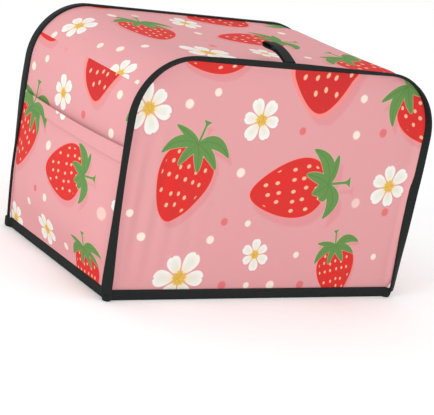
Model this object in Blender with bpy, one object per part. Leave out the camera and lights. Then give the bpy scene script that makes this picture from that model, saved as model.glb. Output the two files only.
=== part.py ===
"""Fitted cloth cover, sewn from printed panels and bound with black tape.

Two flat panels with rounded top corners, front and back, are joined by one long
gusset that runs up the left side, over the top and down the right side. Each
panel's seam is a raised flange wrapped in tape. A tape folded over the lower
edge binds the hem, a patch pocket covers the lower part of the left side, and a
loop of tape to lift the cover by is sewn into the front seam at the top.

Frame: +X to the right, -Y to the front, +Z up. The origin is the middle of the
underside of the top, where the cover rests on what it covers. Shapes are worked
out with z counted from the lower edge of the hem, and each object is then
lowered by the height of that origin.
"""

import math

import bmesh
import bpy
import numpy as np

# The cover, between its seam lines
SEAM_WIDTH = 0.302
SEAM_DEPTH = 0.184
SEAM_HEIGHT = 0.204
LEFT_CORNER = 0.050
RIGHT_CORNER = 0.054

# How far the walls lean from upright at the hem, fading out at the shoulder
LEFT_DRAW_IN_FRONT = 0.0076
LEFT_DRAW_IN_BACK = 0.0038
RIGHT_FLARE = 0.0033
LEAN_POWER = 1.3
HEM_TURN_IN = 0.0020
HEM_TURN_HEIGHT = 0.012

# Cloth, and the clearance between pieces that are sewn together
CLOTH = 0.0015
GAP = 0.0003
# The panels' faces lie this far inside the seams' planes, and the gusset's face this
# far inside the seam lines at its front edge and at its back edge
FACE_INSET = 0.003
FRONT_INSET = 0.003
BACK_INSET = 0.0008

# Soft unevenness of the cloth. It fades out over the flat rim along every seam
PANEL_CROWN = 0.0022
RIPPLE_DEPTH = 0.0012
RIPPLE_PITCH = 0.017
RIPPLE_REACH = 0.060
TOP_SAG = 0.0016
WALL_CROWN = 0.0018
FLAT_RIM = 0.005
WALL_CROWN_START = 0.030

# Tape round the hem: folded over the lower edge
TAPE = 0.0012
HEM_HEIGHT = 0.0090
HEM_FLOOR = 0.0015
HEM_CHAMFER = 0.0005
HEM_CORNER = 0.0035
# The hem's corners in order round the cover, and how far the tape stands out at each,
# where it passes round the end of the seam's flange
HEM_CORNERS = (
    # side in x, side in y, ear
    (1, -1, 0.0045),
    (1, 1, 0.0030),
    (-1, 1, 0.0015),
    (-1, -1, 0.0045),
)

# Tape round the panels' seams
SEAM_TAPE_THICK = 0.0024
# Along the front seam, from the left foot over the top to the right foot:
# share of its length, width of the flange, and its turn in degrees from the
# panel's plane (0) towards straight forwards (90)
FRONT_FLANGE = (
    # share, width, turn
    (0.000, 0.0095, -12),
    (0.030, 0.0095, -10),
    (0.065, 0.0080, -6),
    (0.100, 0.0072, 8),
    (0.165, 0.0072, 20),
    (0.232, 0.0072, 6),
    (0.285, 0.0072, 24),
    (0.340, 0.0072, 52),
    (0.404, 0.0072, 34),
    (0.505, 0.0072, 34),
    (0.560, 0.0072, 52),
    (0.630, 0.0072, 66),
    (0.690, 0.0072, 96),
    (0.760, 0.0072, 71),
    (0.810, 0.0072, 42),
    (0.850, 0.0072, 14),
    (0.910, 0.0072, -5),
    (0.950, 0.0072, -24),
    (1.000, 0.0072, -38),
)
# Along the back seam, in the same direction: its flange is turned back
BACK_FLANGE = (
    # share, width, turn
    (0.000, 0.0072, 134),
    (0.080, 0.0072, 134),
    (0.120, 0.0072, 118),
    (0.165, 0.0072, 104),
    (0.200, 0.0072, 97),
    (0.285, 0.0072, 106),
    (0.400, 0.0072, 101),
    (0.600, 0.0072, 96),
    (0.720, 0.0072, 84),
    (0.850, 0.0072, 62),
    (1.000, 0.0072, 48),
)

# Patch pocket on the left wall
POCKET_MOUTH = 0.126
POCKET_HEM = 0.0085
POCKET_HEM_EXTRA = 0.0008
POCKET_HEM_STEP = 0.0008
POCKET_SIDE_GAP = 0.0006
POCKET_FULLNESS = 0.0092
POCKET_MOUTH_FULLNESS = 0.0078
POCKET_FILL_HEIGHT = 0.042
POCKET_ROUNDING = 0.7
# How square the fullness is towards the front seam, and towards the back seam at the
# mouth and lower down, where the cloth stands off right up to the seam
POCKET_FRONT_POWER = 4
POCKET_BACK_POWERS = (6, 12)
POCKET_BACK_CHANGE = (0.065, 0.110)

# Lifting loop: a tape folded double, both ends in the front seam
LOOP_WIDTH = 0.011
LOOP_MIDDLE = -0.0108
LOOP_TAPE = 0.0012
# Its route from the seam along the lower layer, round the fold and back along the
# upper one: distance behind the seam, and height over the seam's height
LOOP_ROUTE = (
    # behind, above
    (0.0022, 0.0006),
    (0.0090, 0.0028),
    (0.0200, 0.0042),
    (0.0310, 0.0042),
    (0.0400, 0.0041),
    (0.0445, 0.0050),
    (0.0462, 0.0076),
    (0.0445, 0.0101),
    (0.0400, 0.0112),
    (0.0310, 0.0111),
    (0.0200, 0.0092),
    (0.0090, 0.0058),
    (0.0024, 0.0026),
)

# Fineness of the meshes
WALL_STEPS = 10
CORNER_STEPS = 7
TOP_STEPS = 12
PANEL_COLUMNS = 18
GUSSET_COLUMNS = 9
POCKET_ROWS = 15
POCKET_COLUMNS = 16
# Above one, the pocket's rows lie closer together towards its foot
POCKET_ROW_CROWDING = 1.15
HEM_LONG_STEPS = 16
HEM_SHORT_STEPS = 11
HEM_CORNER_STEPS = 5
ROUTE_STEPS_PER_POINT = 3

LEFT_SHOULDER = SEAM_HEIGHT - LEFT_CORNER
RIGHT_SHOULDER = SEAM_HEIGHT - RIGHT_CORNER
LEFT_CORNER_X = -SEAM_WIDTH / 2 + LEFT_CORNER
RIGHT_CORNER_X = SEAM_WIDTH / 2 - RIGHT_CORNER
PANEL_FACE = SEAM_DEPTH / 2 - FACE_INSET
GUSSET_EDGE = PANEL_FACE - CLOTH - GAP
SHEET_FOOT = HEM_FLOOR + GAP
HEM_TOP = HEM_HEIGHT + GAP
MOUNT_HEIGHT = SEAM_HEIGHT - (FRONT_INSET + BACK_INSET) / 2 - TOP_SAG - CLOTH

PINK = (0.80, 0.38, 0.40)
BLACK = (0.018, 0.021, 0.021)
CLOTH_ROUGHNESS = 0.85
TAPE_ROUGHNESS = 0.6
SHARP_ANGLE = math.radians(40)


def backward(y):
    """Share of the way from the front face to the back face."""
    return 0.5 + y / (2 * PANEL_FACE)


def inset_at(y):
    """How far the gusset lies inside the seam line, from its front to its back edge."""
    return FRONT_INSET + (BACK_INSET - FRONT_INSET) * backward(y)


def lean(z, shoulder):
    """Share of a wall's lean at height z: one at the hem, none at the shoulder."""
    return np.clip(1 - np.asarray(z) / shoulder, 0, 1) ** LEAN_POWER


def left_wall(y, z):
    """x of the left wall's line at depth y and height z, below the shoulder. It is
    drawn in at the hem, more in front than behind."""
    draw_in = LEFT_DRAW_IN_FRONT + (LEFT_DRAW_IN_BACK - LEFT_DRAW_IN_FRONT) * backward(y)
    return -SEAM_WIDTH / 2 + draw_in * lean(z, LEFT_SHOULDER)


def right_wall(z):
    """x of the right wall's line at height z: it flares, and turns in at the hem."""
    turned = HEM_TURN_IN * np.clip(1 - np.asarray(z) / HEM_TURN_HEIGHT, 0, 1) ** 2
    return SEAM_WIDTH / 2 + RIGHT_FLARE * lean(z, RIGHT_SHOULDER) - turned


def wall_rows(foot, shoulder):
    """Heights of the rows up a wall, with one row level with the top of the hem tape."""
    rows = np.linspace(HEM_TOP, shoulder, WALL_STEPS + 1)
    return rows if foot == HEM_TOP else np.insert(rows, 0, foot)


def arch(y, foot):
    """Points of the cover's line at depth y and its outward normals, from the left foot
    to the right foot: a wall, a quarter circle, the top, a quarter circle, a wall."""
    rise_left = wall_rows(foot, LEFT_SHOULDER)
    rise_right = wall_rows(foot, RIGHT_SHOULDER)[::-1]
    left_turn = np.radians(np.linspace(180, 90, CORNER_STEPS + 1))
    right_turn = np.radians(np.linspace(90, 0, CORNER_STEPS + 1))
    across = np.linspace(LEFT_CORNER_X, RIGHT_CORNER_X, TOP_STEPS + 1)
    x = np.concatenate((
        left_wall(y, rise_left)[:-1],
        LEFT_CORNER_X + LEFT_CORNER * np.cos(left_turn)[:-1],
        across[:-1],
        RIGHT_CORNER_X + RIGHT_CORNER * np.cos(right_turn)[:-1],
        right_wall(rise_right),
    ))
    z = np.concatenate((
        rise_left[:-1],
        LEFT_SHOULDER + LEFT_CORNER * np.sin(left_turn)[:-1],
        np.full(TOP_STEPS, SEAM_HEIGHT),
        RIGHT_SHOULDER + RIGHT_CORNER * np.sin(right_turn)[:-1],
        rise_right,
    ))
    along_x = np.gradient(x)
    along_z = np.gradient(z)
    length = np.hypot(along_x, along_z)
    return x, z, -along_z / length, along_x / length


def shares(x, z):
    """Share of the line's length at each of its points."""
    steps = np.hypot(np.diff(x), np.diff(z))
    run = np.concatenate(((0.0,), np.cumsum(steps)))
    return run / run[-1]


def eased(count):
    """Shares from 0 to 1 that crowd together towards both ends."""
    return 0.5 - 0.5 * np.cos(np.pi * np.arange(count + 1) / count)


def smooth(t):
    """Smooth step from 0 to 1."""
    t = np.clip(t, 0, 1)
    return t * t * (3 - 2 * t)


def finish_object(name, mesh_data, colour, roughness):
    """Turn a bmesh into a named object at its place, smooth but for its sharp edges."""
    bmesh.ops.recalc_face_normals(mesh_data, faces=mesh_data.faces)
    mesh = bpy.data.meshes.new(name)
    mesh_data.to_mesh(mesh)
    mesh_data.free()
    mesh.shade_smooth()
    mesh.set_sharp_from_angle(angle=SHARP_ANGLE)
    material = bpy.data.materials.new(name + "_material")
    material.use_nodes = True
    shader = material.node_tree.nodes["Principled BSDF"]
    shader.inputs["Base Color"].default_value = (*colour, 1.0)
    shader.inputs["Roughness"].default_value = roughness
    shader.inputs["Metallic"].default_value = 0.0
    mesh.materials.append(material)
    piece = bpy.data.objects.new(name, mesh)
    piece.location.z = -MOUNT_HEIGHT
    bpy.context.scene.collection.objects.link(piece)
    return piece


def sheet(name, face, back, colour, roughness):
    """Closed cloth sheet between two grids of points, its front and its back."""
    mesh_data = bmesh.new()
    rows, columns = face.shape[:2]
    front = [[mesh_data.verts.new(point) for point in row] for row in face]
    rear = [[mesh_data.verts.new(point) for point in row] for row in back]
    for row in range(rows - 1):
        for column in range(columns - 1):
            for layer in (front, rear):
                mesh_data.faces.new((
                    layer[row][column],
                    layer[row][column + 1],
                    layer[row + 1][column + 1],
                    layer[row + 1][column],
                ))
    rim = [(0, column) for column in range(columns)]
    rim += [(row, columns - 1) for row in range(1, rows)]
    rim += [(rows - 1, column) for column in range(columns - 2, -1, -1)]
    rim += [(row, 0) for row in range(rows - 2, 0, -1)]
    for (row, column), (next_row, next_column) in zip(rim, rim[1:] + rim[:1]):
        mesh_data.faces.new((
            front[row][column],
            front[next_row][next_column],
            rear[next_row][next_column],
            rear[row][column],
        ))
    return finish_object(name, mesh_data, colour, roughness)


def swept(name, sections, colour, roughness, ring=False):
    """Closed bar through a row of like sections, capped unless it is a ring."""
    mesh_data = bmesh.new()
    loops = [[mesh_data.verts.new(point) for point in section] for section in sections]
    pairs = list(zip(loops, loops[1:]))
    if ring:
        pairs.append((loops[-1], loops[0]))
    else:
        mesh_data.faces.new(loops[0])
        mesh_data.faces.new(loops[-1])
    for here, ahead in pairs:
        for index in range(len(here)):
            after = (index + 1) % len(here)
            mesh_data.faces.new((here[index], here[after], ahead[after], ahead[index]))
    return finish_object(name, mesh_data, colour, roughness)


def panel_edges(y, z, inset):
    """Left and right ends of a panel's rows at heights z, this far inside the line."""
    left_up = np.clip(z - LEFT_SHOULDER, 0, LEFT_CORNER - inset)
    right_up = np.clip(z - RIGHT_SHOULDER, 0, RIGHT_CORNER - inset)
    left_arc = LEFT_CORNER_X - np.sqrt((LEFT_CORNER - inset) ** 2 - left_up ** 2)
    right_arc = RIGHT_CORNER_X + np.sqrt((RIGHT_CORNER - inset) ** 2 - right_up ** 2)
    left = np.where(z > LEFT_SHOULDER, left_arc, left_wall(y, z) + inset)
    right = np.where(z > RIGHT_SHOULDER, right_arc, right_wall(z) - inset)
    return left, right


def panel_relief(x, z, rim):
    """How far the panel stands out of its plane: a low crown over the whole face and
    a few upright ripples beside the left seam, both fading out at the rim."""
    crown = PANEL_CROWN * np.cos(np.pi * x / SEAM_WIDTH) * np.sin(np.pi * z / SEAM_HEIGHT)
    from_left = x + SEAM_WIDTH / 2
    fade = np.exp(-(from_left / RIPPLE_REACH) ** 2) * np.sin(np.pi * np.clip(z / LEFT_SHOULDER, 0, 1))
    ripple = RIPPLE_DEPTH * fade * np.cos(2 * np.pi * from_left / RIPPLE_PITCH)
    return (crown + ripple) * smooth(rim / FLAT_RIM)


def make_panel(name, side):
    """Front (side -1) or back (side 1) panel: rows up the walls, then by angle round
    the corners, so that the outline is round where the seam is."""
    inset = BACK_INSET if side > 0 else FRONT_INSET
    shoulder = min(LEFT_SHOULDER, RIGHT_SHOULDER)
    top = SEAM_HEIGHT - inset
    turn = np.radians(np.linspace(0, 90, CORNER_STEPS + 1))[1:]
    z = np.concatenate((wall_rows(SHEET_FOOT, shoulder), shoulder + (top - shoulder) * np.sin(turn)))
    left, right = panel_edges(side * PANEL_FACE, z, inset)
    across = eased(PANEL_COLUMNS)
    x = left[:, None] + (right - left)[:, None] * across
    z = np.repeat(z[:, None], PANEL_COLUMNS + 1, axis=1)
    to_side = np.minimum(x - x[:, :1], x[:, -1:] - x)
    to_ends = np.minimum(z - HEM_HEIGHT, z[-1, 0] - z)
    relief = panel_relief(x, z, np.minimum(to_side, to_ends))
    face = np.stack((x, side * (PANEL_FACE + relief), z), axis=-1)
    back = np.stack((x, side * (PANEL_FACE - CLOTH + relief), z), axis=-1)
    return sheet(name, face, back, PINK, CLOTH_ROUGHNESS)


def wall_crown(y, z):
    """How far a wall bows out: most half way between the seams, nothing in the hem."""
    return WALL_CROWN * (1 - (y / GUSSET_EDGE) ** 2) * smooth((z - HEM_HEIGHT) / WALL_CROWN_START)


def gusset_relief(y, z, normal_z):
    """How far the gusset stands outside its line: the walls bow out a little and the
    top sags a little, and the edges stay on the line."""
    upward = np.clip(normal_z, 0, 1) ** 2
    sag = TOP_SAG * (1 - (y / GUSSET_EDGE) ** 2)
    return wall_crown(y, z) * (1 - upward) - sag * upward


def make_gusset():
    """One strip from hem to hem over the top, between the two panels."""
    columns = GUSSET_EDGE * (2 * eased(GUSSET_COLUMNS) - 1)
    lines = [np.stack(arch(y, SHEET_FOOT)) for y in columns]
    x, z, normal_x, normal_z = np.stack(lines, axis=-1)
    y = np.broadcast_to(columns, x.shape)
    out = gusset_relief(y, z, normal_z) - inset_at(y)
    face = np.stack((x + normal_x * out, y, z + normal_z * out), axis=-1)
    out = out - CLOTH
    back = np.stack((x + normal_x * out, y, z + normal_z * out), axis=-1)
    return sheet("gusset", face, back, PINK, CLOTH_ROUGHNESS)


def pocket_fullness(y, z, half_width):
    """How far the pocket stands off the wall: nothing along the side seams and at the
    foot, its full depth from a third of its height up, a little less at the mouth."""
    up = (z - HEM_HEIGHT) / (POCKET_MOUTH - HEM_HEIGHT)
    foot = smooth((z - HEM_HEIGHT) / POCKET_FILL_HEIGHT)
    depth = POCKET_FULLNESS + (POCKET_MOUTH_FULLNESS - POCKET_FULLNESS) * smooth(2 * up - 1)
    low, high = POCKET_BACK_CHANGE
    at_mouth, lower = POCKET_BACK_POWERS
    back_power = lower + (at_mouth - lower) * smooth((z - low) / (high - low))
    power = np.where(y > 0, back_power, POCKET_FRONT_POWER)
    return foot * depth * (1 - np.abs(y / half_width) ** power) ** POCKET_ROUNDING


def make_pocket():
    """Patch pocket over the lower left wall, caught in the two seams and the hem. Its
    turned hem at the mouth is thicker, as the cloth is double there."""
    half_width = GUSSET_EDGE - POCKET_SIDE_GAP
    fold = POCKET_MOUTH - POCKET_HEM
    z = np.concatenate((
        HEM_TOP + (fold - HEM_TOP) * np.linspace(0, 1, POCKET_ROWS - 2) ** POCKET_ROW_CROWDING,
        (fold + POCKET_HEM_STEP, POCKET_MOUTH - POCKET_HEM_STEP, POCKET_MOUTH),
    ))
    y = half_width * (2 * eased(POCKET_COLUMNS) - 1)
    z, y = np.meshgrid(z, y, indexing="ij")
    wall = left_wall(y, z) + inset_at(y) - wall_crown(y, z)
    inner = wall - GAP - pocket_fullness(y, z, half_width)
    hem = POCKET_HEM_EXTRA * smooth((z - fold) / POCKET_HEM_STEP) * (z < POCKET_MOUTH)
    outer = inner - CLOTH - hem
    face = np.stack((outer, y, z), axis=-1)
    back = np.stack((inner, y, z), axis=-1)
    return sheet("side_pocket", face, back, PINK, CLOTH_ROUGHNESS)


def stadium(width, thickness):
    """Section of a folded tape: eight points, (along, across), round at both ends.
    It is counted from the centre of its inner end."""
    radius = thickness / 2
    reach = width - thickness
    angles = np.radians(np.array((112.5, 157.5, 202.5, 247.5, 292.5, 337.5, 22.5, 67.5)))
    starts = np.array((0, 0, 0, 0, reach, reach, reach, reach))
    return starts + radius * np.cos(angles), radius * np.sin(angles)


def make_seam_binding(name, side, table):
    """Taped flange along a panel's seam. Its inner end sits just off the corner of
    panel and gusset, and it stands out from there at the turn of the table."""
    x, z, normal_x, normal_z = arch(side * PANEL_FACE, HEM_TOP)
    along = shares(x, z)
    spots, widths, turns = np.array(table).T
    width = np.interp(along, spots, widths)
    turn = np.radians(np.interp(along, spots, turns))
    inset = BACK_INSET if side > 0 else FRONT_INSET
    clear = (SEAM_TAPE_THICK / 2 + GAP) * math.sqrt(0.5)
    sections = []
    for index in range(len(x)):
        reach, across = stadium(width[index], SEAM_TAPE_THICK)
        cosine, sine = math.cos(turn[index]), math.sin(turn[index])
        out = clear - inset + reach * cosine - across * sine
        forward = clear - FACE_INSET + reach * sine + across * cosine
        sections.append(np.stack((
            x[index] + normal_x[index] * out,
            side * (SEAM_DEPTH / 2 + forward),
            z[index] + normal_z[index] * out,
        ), axis=-1))
    return swept(name, sections, BLACK, TAPE_ROUGHNESS)


def hem_path():
    """The hem's line round the cover, as steps round a rectangle with small round
    corners. Each row places a point at any height: its shares of the half width and
    of the half depth, its outward direction, and how far it stands out at a corner."""
    rows = []
    following = HEM_CORNERS[1:] + HEM_CORNERS[:1]
    for index, (corner, ahead) in enumerate(zip(HEM_CORNERS, following)):
        side_x, side_y, ear = corner
        first = math.radians(270 + 90 * index)
        for step in range(HEM_CORNER_STEPS + 1):
            turn = math.pi / 2 * step / HEM_CORNER_STEPS
            angle = first + turn
            swell = ear * math.sin(2 * turn)
            rows.append((side_x, side_y, math.cos(angle), math.sin(angle), swell))
        count = HEM_SHORT_STEPS if ahead[0] == side_x else HEM_LONG_STEPS
        out_x, out_y = math.cos(first + math.pi / 2), math.sin(first + math.pi / 2)
        for t in np.arange(1, count) / count:
            share_x = side_x + (ahead[0] - side_x) * t
            share_y = side_y + (ahead[1] - side_y) * t
            rows.append((share_x, share_y, out_x, out_y, 0.0))
    return rows


def hem_point(row, offset, z, swollen):
    """Point of the hem's line at height z, this far outside the cloth's face."""
    share_x, share_y, out_x, out_y, swell = row
    y = (PANEL_FACE - HEM_CORNER) * share_y
    inset = inset_at(y) + HEM_CORNER
    left = float(left_wall(y, z)) + inset
    right = float(right_wall(z)) - inset
    x = (left + right) / 2 + (right - left) / 2 * share_x
    grown = HEM_CORNER + offset + (swell if swollen else 0.0)
    return x + out_x * grown, y + out_y * grown, z


def make_hem_binding():
    """Tape folded over the lower edge all the way round: an upright U that holds the
    edges of the sheets, flat underneath."""
    outside = GAP + TAPE
    inside = -CLOTH - GAP
    profile = (
        # offset from the cloth's outer face, height, whether it stands out at corners
        (outside, HEM_CHAMFER, True),
        (outside - HEM_CHAMFER, 0.0, True),
        (inside - TAPE + HEM_CHAMFER, 0.0, False),
        (inside - TAPE, HEM_CHAMFER, False),
        (inside - TAPE, HEM_HEIGHT, False),
        (inside, HEM_HEIGHT, False),
        (inside, HEM_FLOOR, False),
        (GAP, HEM_FLOOR, True),
        (GAP, HEM_HEIGHT, True),
        (outside, HEM_HEIGHT, True),
    )
    sections = []
    for row in hem_path():
        sections.append([
            hem_point(row, offset, z, swollen)
            for offset, z, swollen in profile
        ])
    return swept("hem_binding", sections, BLACK, TAPE_ROUGHNESS, ring=True)


def rounded_route(points, steps):
    """Smooth curve through the points (Catmull-Rom), this many steps to each point."""
    points = np.array(points)
    padded = np.vstack((2 * points[0] - points[1], points, 2 * points[-1] - points[-2]))
    curve = []
    for a, b, c, d in zip(padded, padded[1:], padded[2:], padded[3:]):
        for t in np.arange(steps) / steps:
            curve.append(0.5 * (
                2 * b + (c - a) * t + (2 * a - 5 * b + 4 * c - d) * t ** 2
                + (3 * b - a - 3 * c + d) * t ** 3
            ))
    curve.append(points[-1])
    return np.array(curve)


def make_top_loop():
    """Tape doubled into a flat loop that reaches back over the top from its two ends
    in the front seam. The space between its layers is open from side to side."""
    route = rounded_route(LOOP_ROUTE, ROUTE_STEPS_PER_POINT)
    direction = np.gradient(route, axis=0)
    direction /= np.linalg.norm(direction, axis=1)[:, None]
    across = np.stack((-direction[:, 1], direction[:, 0]), axis=-1) * LOOP_TAPE / 2
    sections = []
    for point, half in zip(route, across):
        corners = []
        for side_x, side in ((-1, 1), (1, 1), (1, -1), (-1, -1)):
            behind, above = point + side * half
            corners.append((
                LOOP_MIDDLE + side_x * LOOP_WIDTH / 2,
                -SEAM_DEPTH / 2 + behind,
                SEAM_HEIGHT + above,
            ))
        sections.append(corners)
    return swept("top_loop", sections, BLACK, TAPE_ROUGHNESS)


for old in list(bpy.data.objects):
    bpy.data.objects.remove(old, do_unlink=True)

make_panel("front_panel", -1)
make_panel("back_panel", 1)
make_gusset()
make_pocket()
make_seam_binding("front_binding", -1, FRONT_FLANGE)
make_seam_binding("back_binding", 1, BACK_FLANGE)
make_hem_binding()
make_top_loop()
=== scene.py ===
import math

import bpy
import mathutils
import numpy as np
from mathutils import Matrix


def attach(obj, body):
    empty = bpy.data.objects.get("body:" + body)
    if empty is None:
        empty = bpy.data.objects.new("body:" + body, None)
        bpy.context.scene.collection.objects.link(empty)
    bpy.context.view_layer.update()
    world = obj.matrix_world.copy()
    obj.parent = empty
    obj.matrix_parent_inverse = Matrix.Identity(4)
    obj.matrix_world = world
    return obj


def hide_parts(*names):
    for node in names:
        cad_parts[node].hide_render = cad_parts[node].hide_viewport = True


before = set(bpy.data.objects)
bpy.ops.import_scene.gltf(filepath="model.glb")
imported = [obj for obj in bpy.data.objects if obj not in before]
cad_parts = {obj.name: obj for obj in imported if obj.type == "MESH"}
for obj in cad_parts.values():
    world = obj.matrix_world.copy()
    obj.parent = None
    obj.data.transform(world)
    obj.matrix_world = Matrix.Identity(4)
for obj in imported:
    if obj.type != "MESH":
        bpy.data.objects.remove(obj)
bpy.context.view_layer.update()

# Studio: a pale floor level with the hem, soft light from all round with a large soft
# lamp above on the left and a weaker one in front, and a camera a little to the left
# of the front, a little above, and rolled as in the picture.
HEM_LEVEL = -0.199
PICTURE_WIDTH = 434
FOCAL_PIXELS = 1649.0
SENSOR_WIDTH = 36.0
EYE = (-0.8139, -1.1524, 0.2338)
EYE_AZIMUTH = math.radians(-35.62)
EYE_ELEVATION = math.radians(15.07)
EYE_ROLL = math.radians(11.82)
FLOOR_REACH = 6.0
FLOOR_COLOUR = (0.98, 0.98, 0.98, 1.0)
FLOOR_ROUGHNESS = 0.9
WORLD_COLOUR = (1.0, 1.0, 1.0, 1.0)
WORLD_STRENGTH = 1.0

scene = bpy.context.scene
scene.view_settings.view_transform = "Standard"
scene.view_settings.look = "None"

world = bpy.data.worlds.new("soft_white_room")
world.use_nodes = True
world.node_tree.nodes["Background"].inputs["Color"].default_value = WORLD_COLOUR
world.node_tree.nodes["Background"].inputs["Strength"].default_value = WORLD_STRENGTH
scene.world = world

floor_mesh = bpy.data.meshes.new("pale_floor")
floor_corners = [
    (side_x * FLOOR_REACH, side_y * FLOOR_REACH, HEM_LEVEL)
    for side_x, side_y in ((-1, -1), (1, -1), (1, 1), (-1, 1))
]
floor_mesh.from_pydata(floor_corners, [], [(0, 1, 2, 3)])
floor_paint = bpy.data.materials.new("pale_floor")
floor_paint.use_nodes = True
floor_surface = floor_paint.node_tree.nodes["Principled BSDF"]
floor_surface.inputs["Base Color"].default_value = FLOOR_COLOUR
floor_surface.inputs["Roughness"].default_value = FLOOR_ROUGHNESS
floor_mesh.materials.append(floor_paint)
floor = bpy.data.objects.new("pale_floor", floor_mesh)
scene.collection.objects.link(floor)


def soft_lamp(name, place, target, size, power):
    """Square area lamp at a place, facing a target."""
    lamp_data = bpy.data.lights.new(name, "AREA")
    lamp_data.size = size
    lamp_data.energy = power
    lamp = bpy.data.objects.new(name, lamp_data)
    lamp.location = place
    direction = mathutils.Vector(target) - mathutils.Vector(place)
    lamp.rotation_euler = direction.to_track_quat("-Z", "Y").to_euler()
    scene.collection.objects.link(lamp)


soft_lamp("key_lamp", (-1.9, -0.7, 0.7), (0.0, 0.0, -0.08), 0.9, 14.0)
soft_lamp("front_lamp", (0.0, -2.1, 0.4), (0.0, 0.0, -0.08), 1.2, 5.0)

eye_back = mathutils.Vector((
    math.sin(EYE_AZIMUTH) * math.cos(EYE_ELEVATION),
    -math.cos(EYE_AZIMUTH) * math.cos(EYE_ELEVATION),
    math.sin(EYE_ELEVATION),
))
level_right = mathutils.Vector((0, 0, 1)).cross(eye_back).normalized()
level_up = eye_back.cross(level_right)
eye_right = math.cos(EYE_ROLL) * level_right + math.sin(EYE_ROLL) * level_up
eye_up = -math.sin(EYE_ROLL) * level_right + math.cos(EYE_ROLL) * level_up
camera_data = bpy.data.cameras.new("camera")
camera_data.sensor_fit = "HORIZONTAL"
camera_data.sensor_width = SENSOR_WIDTH
camera_data.lens = FOCAL_PIXELS / PICTURE_WIDTH * SENSOR_WIDTH
camera_data.clip_end = 50
camera = bpy.data.objects.new("camera", camera_data)
turning = mathutils.Matrix((eye_right, eye_up, eye_back)).transposed().to_4x4()
camera.matrix_world = mathutils.Matrix.Translation(EYE) @ turning
scene.collection.objects.link(camera)
scene.camera = camera


# Front panel: one flat piece of printed polyester, cut with two rounded top corners.
# Its edge is bent into the flange of the seam and is held there by the tape. It has a
# low crown and a few soft upright ripples beside the left seam.
MM = 0.001
SEAM_HALF_WIDTH = 151.0
SEAM_HALF_DEPTH = 92.0
SEAM_HEIGHT = 204.0
LEFT_CORNER = 50.0
RIGHT_CORNER = 54.0
DRAW_IN_FRONT = 7.6
DRAW_IN_BACK = 9.0
FLARE = 3.3
FOOT_TURN_IN = 2.0
FOOT_TURN_HEIGHT = 12.0
LEAN_POWER = 1.3
LEAN_POWER_BACK = 1.9
FACE_INSET = 3.0
HEM_HEIGHT = 9.0
CLOTH_FOOT = 1.8
CLOTH_THICK = 0.6
HELD_IN_TAPE = 1.5
SHEET_LIFT = 0.7
LEFT_SHOULDER = SEAM_HEIGHT - LEFT_CORNER
RIGHT_SHOULDER = SEAM_HEIGHT - RIGHT_CORNER
# Heights near the seam line's feet are taken as its share times this, which is a little
# less than its true length
FOOT_MEASURE = 620.0
# Points on each wall, on each corner and on the top of the seam line
WALL_STEPS = 80
CORNER_STEPS = 60
TOP_STEPS = 60
# Along the seam from the left foot over the top to the right foot: share of its
# length, the flange's width, and its turn from the panel's plane (0) to forwards (90)
FRONT_FLANGE = np.array((
    (0.000, 9.5, -12), (0.030, 9.5, -10), (0.065, 8.0, -6), (0.100, 7.2, 8),
    (0.165, 7.2, 20), (0.232, 7.2, 6), (0.285, 7.2, 24), (0.340, 7.2, 52),
    (0.404, 7.2, 34), (0.505, 7.2, 34), (0.560, 7.2, 52), (0.630, 7.2, 66),
    (0.690, 8.2, 96), (0.760, 9.4, 71), (0.810, 9.6, 42), (0.850, 9.6, 14),
    (0.910, 9.6, -5), (0.950, 9.4, -24), (1.000, 9.0, -38),
))
BACK_FLANGE = np.array((
    (0.000, 7.2, 134), (0.080, 7.2, 134), (0.120, 8.0, 114), (0.165, 9.4, 98),
    (0.200, 9.6, 90), (0.285, 9.6, 96), (0.400, 8.4, 98), (0.600, 7.6, 96),
    (0.720, 7.2, 84), (0.850, 7.2, 62), (1.000, 7.2, 48),
))
PANEL_CROWN = 2.2
RIPPLE_DEPTH = 1.2
RIPPLE_PITCH = 17.0
RIPPLE_REACH = 60.0
RIM_REACH = 9.0
COLUMN_PULL = 0.6
PANEL_GRID = (84, 120)


def smooth(t):
    """Smooth step: three t squared less two t cubed, between 0 and 1."""
    t = np.clip(t, 0, 1)
    return t * t * (3 - 2 * t)


def crowded(columns):
    """Steps from 0 to 1 that crowd towards both ends: even steps less a share of a
    whole sine wave."""
    even = np.linspace(0, 1, columns)
    return even - COLUMN_PULL * np.sin(2 * np.pi * even) / (2 * np.pi)


def left_line(y, z):
    """x of the left wall's seam line: drawn in at the hem by a power of the share of
    the height left to the shoulder, which is higher behind than in front."""
    backward = 0.5 + y / (2 * SEAM_HALF_DEPTH)
    below = np.clip(1 - z / LEFT_SHOULDER, 0, 1)
    front = DRAW_IN_FRONT * below ** LEAN_POWER
    back = DRAW_IN_BACK * below ** LEAN_POWER_BACK
    return -SEAM_HALF_WIDTH + front + (back - front) * backward


def right_line(z):
    """x of the right wall's seam line, flared at the hem and turned in at its foot."""
    turned = FOOT_TURN_IN * np.clip(1 - z / FOOT_TURN_HEIGHT, 0, 1) ** 2
    flared = FLARE * np.clip(1 - z / RIGHT_SHOULDER, 0, 1) ** LEAN_POWER
    return SEAM_HALF_WIDTH + flared - turned


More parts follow.
